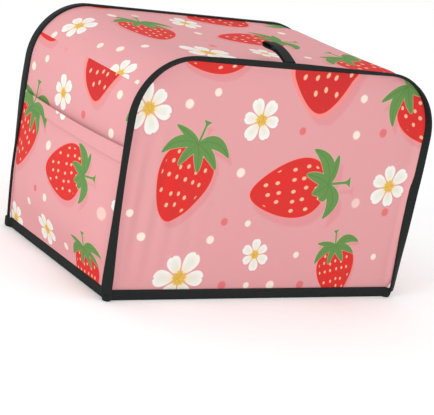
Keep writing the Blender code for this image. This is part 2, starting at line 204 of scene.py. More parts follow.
def seam_table(y):
    """The seam line at depth y as rows of share of length, x, z and outward normal:
    the left wall, a quarter circle, the top, a quarter circle, the right wall."""
    rise = np.linspace(CLOTH_FOOT, LEFT_SHOULDER, WALL_STEPS)
    fall = np.linspace(RIGHT_SHOULDER, CLOTH_FOOT, WALL_STEPS)
    left_turn = np.radians(np.linspace(180, 90, CORNER_STEPS))
    right_turn = np.radians(np.linspace(90, 0, CORNER_STEPS))
    left_middle = -SEAM_HALF_WIDTH + LEFT_CORNER
    right_middle = SEAM_HALF_WIDTH - RIGHT_CORNER
    across = np.linspace(left_middle, right_middle, TOP_STEPS)
    x = np.concatenate((
        left_line(y, rise)[:-1],
        left_middle + LEFT_CORNER * np.cos(left_turn)[:-1],
        across[:-1],
        right_middle + RIGHT_CORNER * np.cos(right_turn)[:-1],
        right_line(fall),
    ))
    z = np.concatenate((
        rise[:-1],
        LEFT_SHOULDER + LEFT_CORNER * np.sin(left_turn)[:-1],
        np.full(TOP_STEPS - 1, SEAM_HEIGHT),
        RIGHT_SHOULDER + RIGHT_CORNER * np.sin(right_turn)[:-1],
        fall,
    ))
    run = np.concatenate(((0.0,), np.cumsum(np.hypot(np.diff(x), np.diff(z)))))
    along_x, along_z = np.gradient(x), np.gradient(z)
    length = np.hypot(along_x, along_z)
    return run / run[-1], x, z, -along_z / length, along_x / length


def seam_at(side, share, flange):
    """Points of the front (-1) or back (1) seam line at shares of its length, with the
    outward normals and the flange's width and turn there."""
    table = seam_table(side * SEAM_HALF_DEPTH)
    x, z, normal_x, normal_z = (np.interp(share, table[0], row) for row in table[1:])
    width = np.interp(share, flange[:, 0], flange[:, 1])
    turn = np.radians(np.interp(share, flange[:, 0], flange[:, 2]))
    return x, z, normal_x, normal_z, width, turn


def rim_at(side, share, flange, lift):
    """Where a sheet's edge lies in the flange: on the seam line, less the held part in
    the flange's own direction, and lifted square to it. It gives x, y and z."""
    x, z, normal_x, normal_z, width, turn = seam_at(side, share, flange)
    out = -HELD_IN_TAPE * np.cos(turn) - lift * np.sin(turn)
    forward = -HELD_IN_TAPE * np.sin(turn) + lift * np.cos(turn)
    return x + normal_x * out, side * (SEAM_HALF_DEPTH + forward), z + normal_z * out


def panel_points(side, flange):
    """A panel as rows from its left edge to its right edge: the rows' ends step up the
    two edges and round the corners together. The face lies inside the seam's plane
    with a crown (a product of half waves) and ripples (a cosine that fades away from
    the left seam), and near the edge it bends to the edge's place in the flange."""
    rows, columns = PANEL_GRID
    up = np.linspace(0, 1, rows)
    table = seam_table(side * SEAM_HALF_DEPTH)
    share, seam_x = (row[WALL_STEPS:-WALL_STEPS] for row in table[:2])
    left_end = np.interp(-SEAM_HALF_WIDTH + LEFT_CORNER, seam_x, share)
    right_end = np.interp(SEAM_HALF_WIDTH - RIGHT_CORNER, seam_x, share)
    left = np.stack(rim_at(side, left_end * up, flange, SHEET_LIFT), axis=-1)
    right = np.stack(rim_at(side, 1 - (1 - right_end) * up, flange, SHEET_LIFT), axis=-1)
    across = crowded(columns)
    plane = left[:, None, :] + (right - left)[:, None, :] * across[None, :, None]
    x, z = plane[..., 0], plane[..., 2]
    top_share = left_end + (right_end - left_end) * across
    top = np.stack(rim_at(side, top_share, flange, SHEET_LIFT), axis=-1)
    to_left = np.hypot(x - left[:, None, 0], z - left[:, None, 2])
    to_right = np.hypot(x - right[:, None, 0], z - right[:, None, 2])
    to_top = np.maximum(top[None, :, 2] - z, 0)
    weights = [1 - smooth(d / RIM_REACH) for d in (to_left, to_right, to_top)]
    rims = [
        np.broadcast_to(left[:, None, 1], x.shape),
        np.broadcast_to(right[:, None, 1], x.shape),
        np.broadcast_to(top[None, :, 1], x.shape),
    ]
    total = sum(weights)
    blended = sum(w * r for w, r in zip(weights, rims)) / np.maximum(total, 1e-9)
    held = np.maximum.reduce(weights) * smooth((z - 5) / 14)
    crown = PANEL_CROWN * np.cos(np.pi * x / (2 * SEAM_HALF_WIDTH)) * np.sin(np.pi * z / SEAM_HEIGHT)
    from_left = x + SEAM_HALF_WIDTH
    fade = np.exp(-(from_left / RIPPLE_REACH) ** 2)
    fade = fade * np.sin(np.pi * np.clip(z / LEFT_SHOULDER, 0, 1))
    ripple = RIPPLE_DEPTH * fade * np.cos(2 * np.pi * from_left / RIPPLE_PITCH)
    fullness = (crown + ripple) * smooth((z - HEM_HEIGHT) / 12)
    face = side * (SEAM_HALF_DEPTH - FACE_INSET + fullness)
    y = face + (blended - face) * held
    return np.stack((x, y, z), axis=-1)


# The print is drawn by the material in each motif's own coordinates, which every face
# carries from the motif nearest to it. A strip's print is cut off at a join of the
# printing, and then each motif stays within its own band of heights.
SHADOW_STEP = (4.0, -5.8)
FRUIT_MIDDLE = 30.0
OTHER_BAND = 1000.0


def local_places(spots, motifs, reach, join):
    """Coordinates of the spots in the frame of the motif nearest to their face: the
    step from its middle, turned back by its turn and divided by its size."""
    middles = motifs[:, :2]
    faces = spots.mean(axis=1)
    gaps = np.linalg.norm(faces[:, None, :] - middles[None, :, :], axis=2) - reach[None, :]
    gaps = gaps + OTHER_BAND * ((faces[:, None, 1] > join) != (motifs[None, :, -1] > 0))
    nearest = gaps.argmin(axis=1)
    steps = spots - middles[nearest][:, None, :]
    turn = np.radians(motifs[nearest, 2])[:, None]
    size = motifs[nearest, 3][:, None]
    across = (steps[..., 0] * np.cos(turn) - steps[..., 1] * np.sin(turn)) / size
    up = (steps[..., 0] * np.sin(turn) + steps[..., 1] * np.cos(turn)) / size
    return nearest, across, up


def add_print(mesh, spots, fruits, flowers, dots, join):
    """Give each face corner its print coordinates. spots are the corners' places on the
    flat print in millimetres, four to a face. A fruit's coordinates are counted in
    millimetres of the drawing from the stalk's foot, a flower's and a dot's in radii."""
    fruits, flowers, dots = (np.array(rows, dtype=float) for rows in (fruits, flowers, dots))

    def store(name, *parts):
        layer = mesh.attributes.new(name, "FLOAT_VECTOR", "CORNER")
        values = np.stack([np.broadcast_to(part, spots.shape[:2]) for part in parts], axis=-1)
        layer.data.foreach_set("vector", values.astype(np.float32).ravel())

    middles = FRUIT_MIDDLE * fruits[:, 3]
    turns = np.radians(fruits[:, 2])
    bodies = fruits.copy()
    bodies[:, 0] -= middles * np.sin(turns)
    bodies[:, 1] -= middles * np.cos(turns)
    nearest, across, up = local_places(spots, bodies, middles, join)
    up = up - FRUIT_MIDDLE
    store("fruit_place", across, up, 0.0)
    turn = turns[nearest][:, None]
    size, width, dark, kind = fruits[nearest, 3:7].T[..., None]
    shift_across = (SHADOW_STEP[0] * np.cos(turn) - SHADOW_STEP[1] * np.sin(turn)) * size
    shift_up = (SHADOW_STEP[0] * np.sin(turn) + SHADOW_STEP[1] * np.cos(turn)) * size
    store("fruit_shadow", across - shift_across, up - shift_up, 0.0)
    store("fruit_look", width, dark, kind)
    nearest, across, up = local_places(spots, flowers, flowers[:, 3], join)
    store("flower_place", across, up, flowers[nearest, 0][:, None])
    nearest, across, up = local_places(spots, dots, dots[:, 3], join)
    store("dot_place", across, up, dots[nearest, 4][:, None])


def cloth_object(name, points, spots, fruits, flowers, dots, turned=False, join=-1000.0):
    """A grid of points in millimetres above the hem as a smooth sheet, with the print."""
    rows, columns = points.shape[:2]
    index = np.arange(rows * columns).reshape(rows, columns)
    quads = np.stack((index[:-1, :-1], index[:-1, 1:], index[1:, 1:], index[1:, :-1]), axis=-1)
    if turned:
        quads = quads[..., ::-1]
    quads = quads.reshape(-1, 4)
    vertices = points.reshape(-1, 3) * MM + (0, 0, HEM_LEVEL)
    mesh = bpy.data.meshes.new(name)
    mesh.from_pydata(vertices, [], quads)
    mesh.shade_smooth()
    corner_spots = spots.reshape(-1, 2)[quads]
    weave = mesh.uv_layers.new(name="cloth")
    weave.data.foreach_set("uv", (corner_spots * MM).astype(np.float32).ravel())
    add_print(mesh, corner_spots, fruits, flowers, dots, join)
    piece = bpy.data.objects.new(name, mesh)
    scene.collection.objects.link(piece)
    mesh.materials.append(printed_cloth)
    mesh.materials.append(cloth_reverse)
    thick = piece.modifiers.new("thickness", "SOLIDIFY")
    thick.thickness = CLOTH_THICK * MM
    thick.offset = -1
    thick.material_offset = 1
    return piece


class Shade:
    """One socket of a material. Sums on it are written as Python expressions, which add
    Math nodes, and any other node comes from node()."""

    def __init__(self, tree, socket=None):
        self.tree = tree
        self.socket = socket

    def node(self, kind, settings, values, output=0):
        made = self.tree.nodes.new(kind)
        for name, setting in settings.items():
            setattr(made, name, setting)
        for place, value in values.items():
            if isinstance(value, Shade):
                self.tree.links.new(value.socket, made.inputs[place])
            else:
                made.inputs[place].default_value = value
        return Shade(self.tree, made.outputs[output])

    def math(self, operation, *values, clamp=False):
        settings = {"operation": operation, "use_clamp": clamp}
        return self.node("ShaderNodeMath", settings, dict(enumerate(values)))

    def __add__(self, other):
        return self.math("ADD", self, other)

    def __radd__(self, other):
        return self.math("ADD", other, self)

    def __sub__(self, other):
        return self.math("SUBTRACT", self, other)

    def __rsub__(self, other):
        return self.math("SUBTRACT", other, self)

    def __mul__(self, other):
        return self.math("MULTIPLY", self, other)

    def __rmul__(self, other):
        return self.math("MULTIPLY", other, self)

    def __truediv__(self, other):
        return self.math("DIVIDE", self, other)

    def __rtruediv__(self, other):
        return self.math("DIVIDE", other, self)

    def __abs__(self):
        return self.math("ABSOLUTE", self)

    def root(self):
        return self.math("SQRT", self)

    def sine(self):
        return self.math("SINE", self)

    def cosine(self):
        return self.math("COSINE", self)

    def clamped(self):
        return self.math("ADD", self, 0.0, clamp=True)

    def least(self, other):
        return self.math("MINIMUM", self, other)

    def most(self, other):
        return self.math("MAXIMUM", self, other)

    def inside(self, soft):
        """One where this distance is negative, none where it is positive."""
        return self.math("MULTIPLY_ADD", self, -1 / soft, 0.5, clamp=True)

    def between(self, first, second):
        """A colour that goes from the first to the second as this goes from 0 to 1."""
        return self.node("ShaderNodeMix", {"data_type": "RGBA"}, {0: self, 6: first, 7: second}, 2)

    def painted(self, colour, mask):
        """This colour with another laid over it where the mask is one."""
        return mask.between(self, colour)

    def noise(self, scale, detail):
        values = {"Vector": self, "Scale": scale, "Detail": detail}
        return self.node("ShaderNodeTexNoise", {}, values)

    def part(self, number):
        return self.node("ShaderNodeSeparateXYZ", {}, {0: self}, number)

    def stored(self, name):
        return self.node("ShaderNodeAttribute", {"attribute_name": name}, {}, 1)


def colour(red, green, blue):
    """A colour given as it shows on a screen, 0 to 255, as the shader wants it."""
    parts = []
    for value in (red, green, blue):
        value = value / 255
        parts.append(value / 12.92 if value <= 0.04045 else ((value + 0.055) / 1.055) ** 2.4)
    return (*parts, 1.0)


# Leaves of a fruit from the stalk's foot: direction, length, half width, arch, and the
# share of the length on a fruit of the second kind
LEAVES = (
    (161.0, 27.5, 3.1, -0.8, 0.82),
    (-152.0, 34.0, 4.8, -5.6, 0.94),
    (-116.0, 24.0, 3.6, -1.2, 0.94),
    (-66.0, 24.4, 4.0, 0.6, 0.62),
    (-31.0, 30.0, 3.9, 2.6, 0.45),
    (-4.0, 33.4, 5.0, 6.4, 0.80),
)
BODY_MIDDLE = -34.5
BODY_HALF_LENGTH = 33.5
BODY_HALF_WIDTH = 24.6
BODY_SWELL = 0.36
CROWN_MIDDLE = (2.5, -3.6)
CROWN_HALF = (10.5, 5.6)
STALK_TOP = 20
STALK_LEAN = 0.04
HIDDEN = 100
SEED_STEPS = (8.2, 11.4)
SHADOW_PINK = colour(208, 133, 137)
HALO_PINK = colour(233, 130, 122)
RED = colour(209, 41, 39)
BROWN_RED = colour(194, 49, 41)
DARK_RED = colour(191, 39, 41)
SEED_CREAM = colour(233, 179, 146)
LEAF_EDGE = colour(194, 184, 141)
LEAF_GREEN = colour(84, 138, 74)
LEAF_OLIVE = colour(108, 132, 68)
VEIN_GREEN = colour(72, 112, 58)
PETAL_SHADOW = colour(201, 133, 139)
PETAL_WHITE = colour(228, 226, 220)
PETAL_GREY = colour(209, 209, 194)
PETAL_WARM = colour(222, 205, 156)
EYE_YELLOW = colour(215, 175, 81)
EYE_BROWN = colour(194, 145, 51)
DOT_CREAM = colour(230, 214, 201)
DOT_RED = colour(211, 109, 111)


def leaf_distance(across, up, kind, direction, length, half, arch, second):
    """Distance from a leaf, negative inside, and distance from its arched middle line.
    Its half width goes as the root of the way along times what is left of it, and a
    little more near the stalk."""
    cosine, sine = math.cos(math.radians(direction)), math.sin(math.radians(direction))
    reach = kind * ((second - 1) * length) + length
    along = (across * cosine + up * sine) / reach
    aside = up * cosine - across * sine
    run = along.clamped()
    left = 1 - run
    middle = run * left * (4 * arch)
    wide = (run * left).root() * (left * 1.3 + 1.5) * half
    vein = abs(aside - middle) + abs(along - run) * length
    return vein - wide, vein


def fruit_distances(across, up, width, kind):
    """Distances from a fruit's body, from its leaves and stalk, and from the leaves'
    veins. The body is an egg: an ellipse whose width grows from the tip to the top. A
    fruit of kind 2 is bare."""
    height = (up - BODY_MIDDLE) / BODY_HALF_LENGTH
    girth = (height * BODY_SWELL + 1).most(0.25) * width * BODY_HALF_WIDTH
    aside = across / girth
    radius = (aside * aside + height * height).root().most(0.02)
    reach = (across * across + (up - BODY_MIDDLE) * (up - BODY_MIDDLE)).root()
    body = (1 - 1 / radius) * reach
    crown_across = (across - CROWN_MIDDLE[0]) / CROWN_HALF[0]
    crown_up = (up - CROWN_MIDDLE[1]) / CROWN_HALF[1]
    leaves = ((crown_across * crown_across + crown_up * crown_up).root() - 1) * 6
    short = kind.least(1.0)
    veins = leaves + 30
    for leaf in LEAVES:
        blade, vein = leaf_distance(across, up, short, *leaf)
        leaves = leaves.least(blade)
        veins = veins.least(vein)
    flare = ((up - 15) / 5).clamped()
    stalk = abs(across - up * STALK_LEAN) - (flare * flare * 3.4 + 1.0)
    stalk = stalk.most(0 - up).most(up - STALK_TOP)
    return body, leaves.least(stalk) + (kind - 1).most(0.0) * HIDDEN, veins


def paint_fruits(shade, paint):
    """Lay the fruits over the paint: shadow, halo, body with seeds, leaves with veins."""
    look = shade.stored("fruit_look")
    width, dark, kind = look.part(0), look.part(1), look.part(2)
    shadow_place = shade.stored("fruit_shadow")
    shadow_body, shadow_leaves, _ = fruit_distances(
        shadow_place.part(0), shadow_place.part(1), width, kind)
    shadow = shadow_body.least(shadow_leaves).inside(2.4)
    paint = paint.painted(SHADOW_PINK, shadow * 0.72)
    place = shade.stored("fruit_place")
    body, leaves, veins = fruit_distances(place.part(0), place.part(1), width, kind)
    halo = (body - 0.8 - dark * 3.0).inside(0.7)
    paint = paint.painted(HALO_PINK, halo * 0.85)
    red = ((place.noise(0.06, 2.0) - 0.35) * 2.2).between(RED, BROWN_RED)
    red = red.painted(DARK_RED, dark)
    seed_scale = (1 / SEED_STEPS[0], 1 / SEED_STEPS[1], 0.0)
    seed_place = shade.node("ShaderNodeVectorMath", {"operation": "MULTIPLY"}, {0: place, 1: seed_scale})
    seed = shade.node("ShaderNodeTexVoronoi", {"voronoi_dimensions": "2D", "feature": "F1"},
                      {"Vector": seed_place, "Scale": 1.0, "Randomness": 0.38})
    seeds = (seed - 0.165).inside(0.07) * (body + 3.4).inside(0.8)
    red = red.painted(SEED_CREAM, seeds * 0.95)
    paint = paint.painted(red, body.inside(0.5))
    paint = paint.painted(LEAF_EDGE, (leaves - 0.45).inside(0.4) * 0.6)
    green = ((place.noise(0.22, 2.0) - 0.3) * 2.0).between(LEAF_GREEN, LEAF_OLIVE)
    inner_vein = (veins - 0.35).inside(0.6) * (leaves + 1.4).inside(0.8)
    green = green.painted(VEIN_GREEN, inner_vein * 0.6)
    return paint.painted(green, leaves.inside(0.4))


def paint_flowers(shade, paint):
    """Lay the flowers over the paint: six petals, each an ellipse that is wider outwards
    and notched, with their shadow, round an eye with a ragged edge."""
    spot = shade.stored("flower_place")
    x, y, number = spot.part(0), spot.part(1), spot.part(2)
    reach = (x * x + y * y).root()
    angle = x.math("ARCTAN2", y, x)
    sixths = angle * (3 / math.pi)
    index = sixths.math("ROUND", sixths)
    offset = (sixths - index) * (math.pi / 3)
    size = (index.math("FLOORED_MODULO", index, 6.0) * 2.4 + number).sine() * 0.08 + 0.96
    along = reach * offset.cosine() / size
    aside = reach * offset.sine() / size
    outwards = (along - 0.6) / 0.4
    sideways = aside / (along * 0.25 + 0.13)
    petal = (outwards * outwards + sideways * sideways).root() - 1
    petal = petal + (0.06 - abs(aside)).most(0.0) * (along - 0.75).most(0.0) * 12
    shaded = (petal - 0.16).inside(0.25) * ((x - y) * 0.6 + 0.35).clamped()
    paint = paint.painted(PETAL_SHADOW, shaded * 0.5)
    petals = petal.inside(0.1)
    paint = paint.painted(PETAL_WHITE, petals)
    paint = paint.painted(PETAL_GREY, (petal + 0.42).inside(0.7) * 0.6)
    warm = (reach - 0.42).inside(0.25)
    paint = paint.painted(PETAL_WARM, warm * petals * 0.55)
    ragged = (angle * 11 + number).sine() * 0.028
    paint = paint.painted(EYE_YELLOW, (reach - 0.255 - ragged).inside(0.05))
    speck = (0.5 - spot.noise(9.0, 1.0)).inside(0.15) * (reach - 0.2).inside(0.1)
    return paint.painted(EYE_BROWN, speck * 0.6)


def paint_dots(shade, paint):
    """Lay the dots over the paint: discs of a tone between cream and red."""
    dot = shade.stored("dot_place")
    x, y = dot.part(0), dot.part(1)
    disc = ((x * x + y * y).root() - 1).inside(0.3)
    return paint.painted(dot.part(2).between(DOT_CREAM, DOT_RED), disc)


THREAD_PITCH = 0.0011
printed_cloth = bpy.data.materials.new("printed_cloth")
printed_cloth.use_nodes = True
cloth_surface = printed_cloth.node_tree.nodes["Principled BSDF"]
cloth_surface.inputs["Roughness"].default_value = 0.82
cloth_surface.inputs["Specular IOR Level"].default_value = 0.25
shade = Shade(printed_cloth.node_tree)
threads = shade.node("ShaderNodeUVMap", {"uv_map": "cloth"}, {})
ground = threads.noise(25.0, 2.0).between(colour(213, 148, 151), colour(208, 150, 152))
paint = paint_dots(shade, paint_flowers(shade, paint_fruits(shade, ground)))
printed_cloth.node_tree.links.new(paint.socket, cloth_surface.inputs["Base Color"])
warp = threads.part(0) * (2 * math.pi / THREAD_PITCH)
weft = threads.part(1) * (2 * math.pi / THREAD_PITCH)
weave = {"Strength": 0.25, "Distance": 0.0001, "Height": warp.sine() * weft.sine()}
relief = shade.node("ShaderNodeBump", {}, weave)
printed_cloth.node_tree.links.new(relief.socket, cloth_surface.inputs["Normal"])

cloth_reverse = bpy.data.materials.new("cloth_reverse")
cloth_reverse.use_nodes = True
reverse_surface = cloth_reverse.node_tree.nodes["Principled BSDF"]
reverse_surface.inputs["Base Color"].default_value = colour(240, 226, 224)
reverse_surface.inputs["Roughness"].default_value = 0.9

FRONT_FRUITS = (
    # across, up, turn from upright, size, width, darkness, kind, above the join
    (-83.8, 134.3, 14.1, 1.00, 1.00, 0.0, 0, 1),
    (56.1, 104.3, 82.0, 1.18, 0.87, 0.0, 1, 1),
    (26.0, 257.0, -3.0, 1.35, 1.10, 0.7, 0, 1),
    (-50.0, 220.5, 79.0, 1.00, 0.89, 0.0, 2, 1),
    (120.5, 194.5, -50.0, 1.10, 0.95, 0.2, 0, 1),
    (80.0, 48.2, -14.0, 0.74, 1.03, 0.0, 0, 1),
)
FRONT_FLOWERS = (
    # across, up, turn, reach, above the join
    (-135.5, 161.1, 10, 21.5, 1),
    (-27.1, 157.0, 5, 19.5, 1),
    (124.5, 103.6, 20, 21.0, 1),
    (-75.5, 18.5, 0, 25.0, 1),
    (-4.5, 39.9, 25, 14.5, 1),
)
FRONT_DOTS = (
    # across, up, turn, radius, tone, above the join
    (-99, 166.7, 0, 3.9, 0, 1), (-74, 177.7, 0, 3.4, 0, 1), (-37, 111.7, 0, 4.0, 0, 1),
    (75, 180.7, 0, 3.6, 0, 1), (75, 148.7, 0, 3.8, 0, 1), (91, 87.7, 0, 4.4, 0.3, 1),
    (-120, 54.7, 0, 3.6, 0, 1), (-135, 74.7, 0, 3.2, 0, 1), (-53, 52.7, 0, 3.6, 0, 1),
    (-19, 67.7, 0, 2.9, 0, 1), (39, 39.7, 0, 2.9, 0, 1), (126, 37.7, 0, 2.9, 0, 1),
    (-6, 11.7, 0, 2.9, 0, 1), (19, 11.7, 0, 4.0, 0, 1), (17, 149.7, 0, 3.4, 1, 1),
    (104, 151.7, 0, 4.0, 1, 1), (-43, 68.7, 0, 3.4, 1, 1), (127, 79.7, 0, 3.8, 1, 1),
    (-31, 11.7, 0, 4.0, 1, 1), (51, 11.7, 0, 3.8, 1, 1),
)
front_points = panel_points(-1, FRONT_FLANGE)
front_panel = cloth_object(
    "printed_front_panel", front_points, front_points[..., [0, 2]],
    FRONT_FRUITS, FRONT_FLOWERS, FRONT_DOTS,
)
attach(front_panel, "root")
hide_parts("front_panel")


# Back panel: the same piece behind. Nothing of it shows in the picture, so it has the
# same print with its motifs placed afresh.
BACK_FRUITS = (
    # across, up, turn from upright, size, width, darkness, kind, above the join
    (78.0, 128.0, 14.0, 1.00, 1.00, 0.0, 0, 1),
    (-38.0, 104.0, 82.0, 1.18, 0.87, 0.0, 1, 1),
    (-8.0, 246.0, -3.0, 1.30, 1.10, 0.7, 0, 1),
    (-84.0, 52.0, -14.0, 0.74, 1.03, 0.0, 0, 1),
    (-128.0, 196.0, 50.0, 1.00, 0.95, 0.1, 0, 1),
    (96.0, 20.0, 8.0, 0.78, 1.00, 0.0, 0, 1),
)
BACK_FLOWERS = (
    # across, up, turn, reach, above the join
    (128.0, 160.0, 10, 21.0, 1),
    (36.0, 168.0, 5, 19.5, 1),
    (-128.0, 52.0, 20, 18.0, 1),
    (30.0, 34.0, 0, 24.0, 1),
    (-28.0, 40.0, 25, 14.5, 1),
)
BACK_DOTS = (
    # across, up, turn, radius, tone, above the join
    (100, 168, 0, 3.9, 0, 1), (62, 184, 0, 3.4, 0, 1), (20, 122, 0, 4.0, 0, 1),
    (-80, 178, 0, 3.6, 0, 1), (-70, 148, 0, 3.8, 0, 1), (-111, 71, 0, 4.4, 0.3, 1),
    (120, 54, 0, 3.6, 0, 1), (134, 92, 0, 3.2, 0, 1), (60, 56, 0, 3.6, 0, 1),
    (0, 66, 0, 2.9, 0, 1), (-52, 22, 0, 2.9, 0, 1), (-132, 30, 0, 2.9, 0, 1),
    (-44, 150, 0, 3.4, 1, 1), (-104, 134, 0, 4.0, 1, 1), (36, 88, 0, 3.4, 1, 1),
    (-136, 108, 0, 3.8, 1, 1), (4, 14, 0, 4.0, 1, 1), (64, 12, 0, 3.8, 1, 1),
)
back_points = panel_points(1, BACK_FLANGE)
back_spots = back_points[..., [0, 2]] * (-1, 1)
back_panel = cloth_object(
    "printed_back_panel", back_points, back_spots, BACK_FRUITS, BACK_FLOWERS, BACK_DOTS,
    turned=True,
)
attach(back_panel, "root")
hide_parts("back_panel")


# Gusset: one long strip of the same cloth, up the left side, over the top and down the
# right side, sewn into both flanges. Its walls bow out a little and its top sags.
GUSSET_GRID = (300, 72)
INSET_FRONT = 3.0
INSET_BACK = 0.8
WALL_CROWN = 1.8
TOP_SAG = 1.6
GUSSET_RIM = 6.0
CORNER_PUFF_FRONT = 5.0
CORNER_PUFF_BACK = 2.2
CORNER_PUFF_AT = 0.685
CORNER_PUFF_REACH = 0.06


def gusset_out(y, share, upward):
    """How far the gusset lies outside the seam line at depth y: within it by an inset
    that lessens backwards, bowed out on the walls and sagging on top by a parabola,
    puffed out at the right corner by a bell curve of the share of the way, and bent
    to its place in the flange at both edges."""
    backward = np.clip(0.5 + y / (2 * SEAM_HALF_DEPTH), 0, 1)
    bow = 1 - (y / SEAM_HALF_DEPTH) ** 2
    height = np.minimum(share, 1 - share) * FOOT_MEASURE
    out = -(INSET_FRONT + (INSET_BACK - INSET_FRONT) * backward)
    out = out + WALL_CROWN * bow * smooth((height - 7) / 30) * (1 - upward)
    out = out - TOP_SAG * bow * upward
    puffed = CORNER_PUFF_FRONT + (CORNER_PUFF_BACK - CORNER_PUFF_FRONT) * backward
    puffed = puffed * np.exp(-((share - CORNER_PUFF_AT) / CORNER_PUFF_REACH) ** 2)
    out = out + puffed * smooth((SEAM_HALF_DEPTH - np.abs(y)) / 24)
    for side, flange in ((-1, FRONT_FLANGE), (1, BACK_FLANGE)):
        turn = seam_at(side, share, flange)[5]
        rim_out = -HELD_IN_TAPE * np.cos(turn) + SHEET_LIFT * np.sin(turn)
        near = 1 - smooth((SEAM_HALF_DEPTH - side * y) / GUSSET_RIM)
        out = out + (rim_out - out) * near * smooth((height - 3) / 12)
    return out


def gusset_points():
    """The strip as rows along the seam line and columns from the front edge to the back
    edge, each at its distance outside the line between the two seam lines."""
    rows, columns = GUSSET_GRID
    share = np.repeat(np.linspace(0, 1, rows)[:, None], columns, axis=1)
    across = np.broadcast_to(crowded(columns), share.shape)
    front_y = rim_at(-1, share, FRONT_FLANGE, -SHEET_LIFT)[1]
    back_y = rim_at(1, share, BACK_FLANGE, -SHEET_LIFT)[1]
    y = front_y + (back_y - front_y) * across
    backward = np.clip(0.5 + y / (2 * SEAM_HALF_DEPTH), 0, 1)
    front = np.stack(seam_at(-1, share, FRONT_FLANGE)[:4])
    back = np.stack(seam_at(1, share, BACK_FLANGE)[:4])
    x, z, normal_x, normal_z = front + (back - front) * backward
    out = gusset_out(y, share, np.clip(normal_z, 0, 1) ** 2)
    return np.stack((x + normal_x * out, y, z + normal_z * out), axis=-1)


PRINT_JOIN = 177.4
GUSSET_FRUITS = (
    # across (to the front), up the strip, turn, size, width, darkness, kind, above the join
    (19.0, 218.0, -10.0, 1.03, 1.06, 0.8, 2, 0),
    (-67.0, 120.0, 3.0, 1.00, 0.95, 0.0, 0, 0),
    (110.0, 163.0, 0.0, 1.00, 0.95, 0.0, 0, 0),
    (-115.8, 217.4, -55.0, 1.00, 0.89, 0.2, 2, 0),
    (-47.6, 258.7, -76.0, 0.90, 1.06, 0.0, 0, 1),
    (-22.0, 390.0, -4.0, 1.00, 0.82, 0.2, 1, 1),
    (-94.0, 396.0, -11.0, 1.00, 0.89, 0.4, 2, 1),
    (-115.0, 270.0, -11.0, 1.00, 0.89, 0.3, 2, 1),
    (33.0, 422.0, -100.0, 1.10, 0.95, 0.1, 1, 1),
    (-86.0, 440.0, 75.0, 0.90, 1.00, 0.2, 0, 1),
    (45.0, 500.0, 194.0, 1.00, 1.00, 0.0, 0, 1),
    (-62.0, 600.0, -79.0, 1.10, 0.90, 0.0, 1, 1),
    (60.0, 618.0, 170.0, 0.80, 1.03, 0.0, 0, 1),
)
GUSSET_FLOWERS = (
    # across, up, turn, reach, above the join
    (-20.9, 141.4, 14, 15.8, 0),
    (49.0, 179.0, 8, 16.5, 1),
    (-52.0, 200.5, 20, 17.0, 1),
    (-61.5, 313.4, 5, 16.5, 1),
    (48.2, 269.6, 10, 24.0, 1),
    (31.0, 338.0, 25, 14.5, 1),
    (-30.0, 480.0, 25, 20.0, 1),
    (2.0, 528.0, 0, 19.0, 1),
    (-74.0, 640.0, 10, 15.0, 1),
)
GUSSET_DOTS = (
    # across, up, turn, radius, tone, above the join
    (62, 131.3, 0, 3.9, 0, 0), (63.3, 164.1, 0, 3.7, 0, 0), (75.2, 179.5, 0, 2.6, 0, 1),
    (-59.3, 160.6, 0, 3.1, 0, 0), (-79.9, 148.8, 0, 3.6, 0, 0), (16.6, 133.5, 0, 3.4, 1, 0),
    (-38.2, 175.4, 0, 2.0, 0.8, 0), (-68, 181.5, 0, 3.4, 0, 1), (-2.5, 192.8, 0, 3.2, 0, 1),
    (21.1, 199.2, 0, 3.8, 0, 1), (34.0, 216.5, 0, 3.6, 0, 1), (-63.6, 239.8, 0, 4.4, 0, 1),
    (-70.4, 267, 0, 3.6, 0.3, 1), (-25.8, 305.5, 0, 3.6, 0, 1), (19.5, 292.4, 0, 3.6, 1, 1),
    (-53.7, 413.6, 0, 3.8, 0, 1), (34.4, 381.6, 0, 3.6, 0, 1), (70, 470, 0, 3.8, 0, 1),
    (20, 455, 0, 3.4, 1, 1), (-78, 500, 0, 3.6, 0, 1), (-44, 536, 0, 3.8, 1, 1),
    (84, 486, 0, 3.2, 0, 1), (6, 630, 0, 3.8, 0, 1), (-70, 560, 0, 3.4, 0, 1),
    (82, 592, 0, 3.6, 1, 1),
)
strip_points = gusset_points()
strip_length = np.linalg.norm(np.diff(strip_points[:, GUSSET_GRID[1] // 2], axis=0), axis=1).sum()
strip_up = CLOTH_FOOT + np.linspace(0, strip_length, GUSSET_GRID[0])
strip_spots = np.stack((
    -strip_points[..., 1],
    np.broadcast_to(strip_up[:, None], GUSSET_GRID),
), axis=-1)
gusset = cloth_object(
    "printed_gusset", strip_points, strip_spots, GUSSET_FRUITS, GUSSET_FLOWERS, GUSSET_DOTS,
    turned=True, join=PRINT_JOIN,
)
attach(gusset, "root")
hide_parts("gusset")


# Side pocket: a patch of the same cloth over the lower part of the left side, caught in
# both seams and in the hem. Its mouth is turned in and stitched, and it stands off.
POCKET_MOUTH = 126.0
POCKET_FOLD = 113.5
POCKET_FULLNESS = 9.2
MOUTH_FULLNESS = 2.6
POCKET_FILL = 42.0
POCKET_BACK_EDGE = 88.0
MOUTH_RISE = 2.0
MOUTH_TURN = 0.8
POCKET_FOOT = 3.0
POCKET_COLUMNS = 72


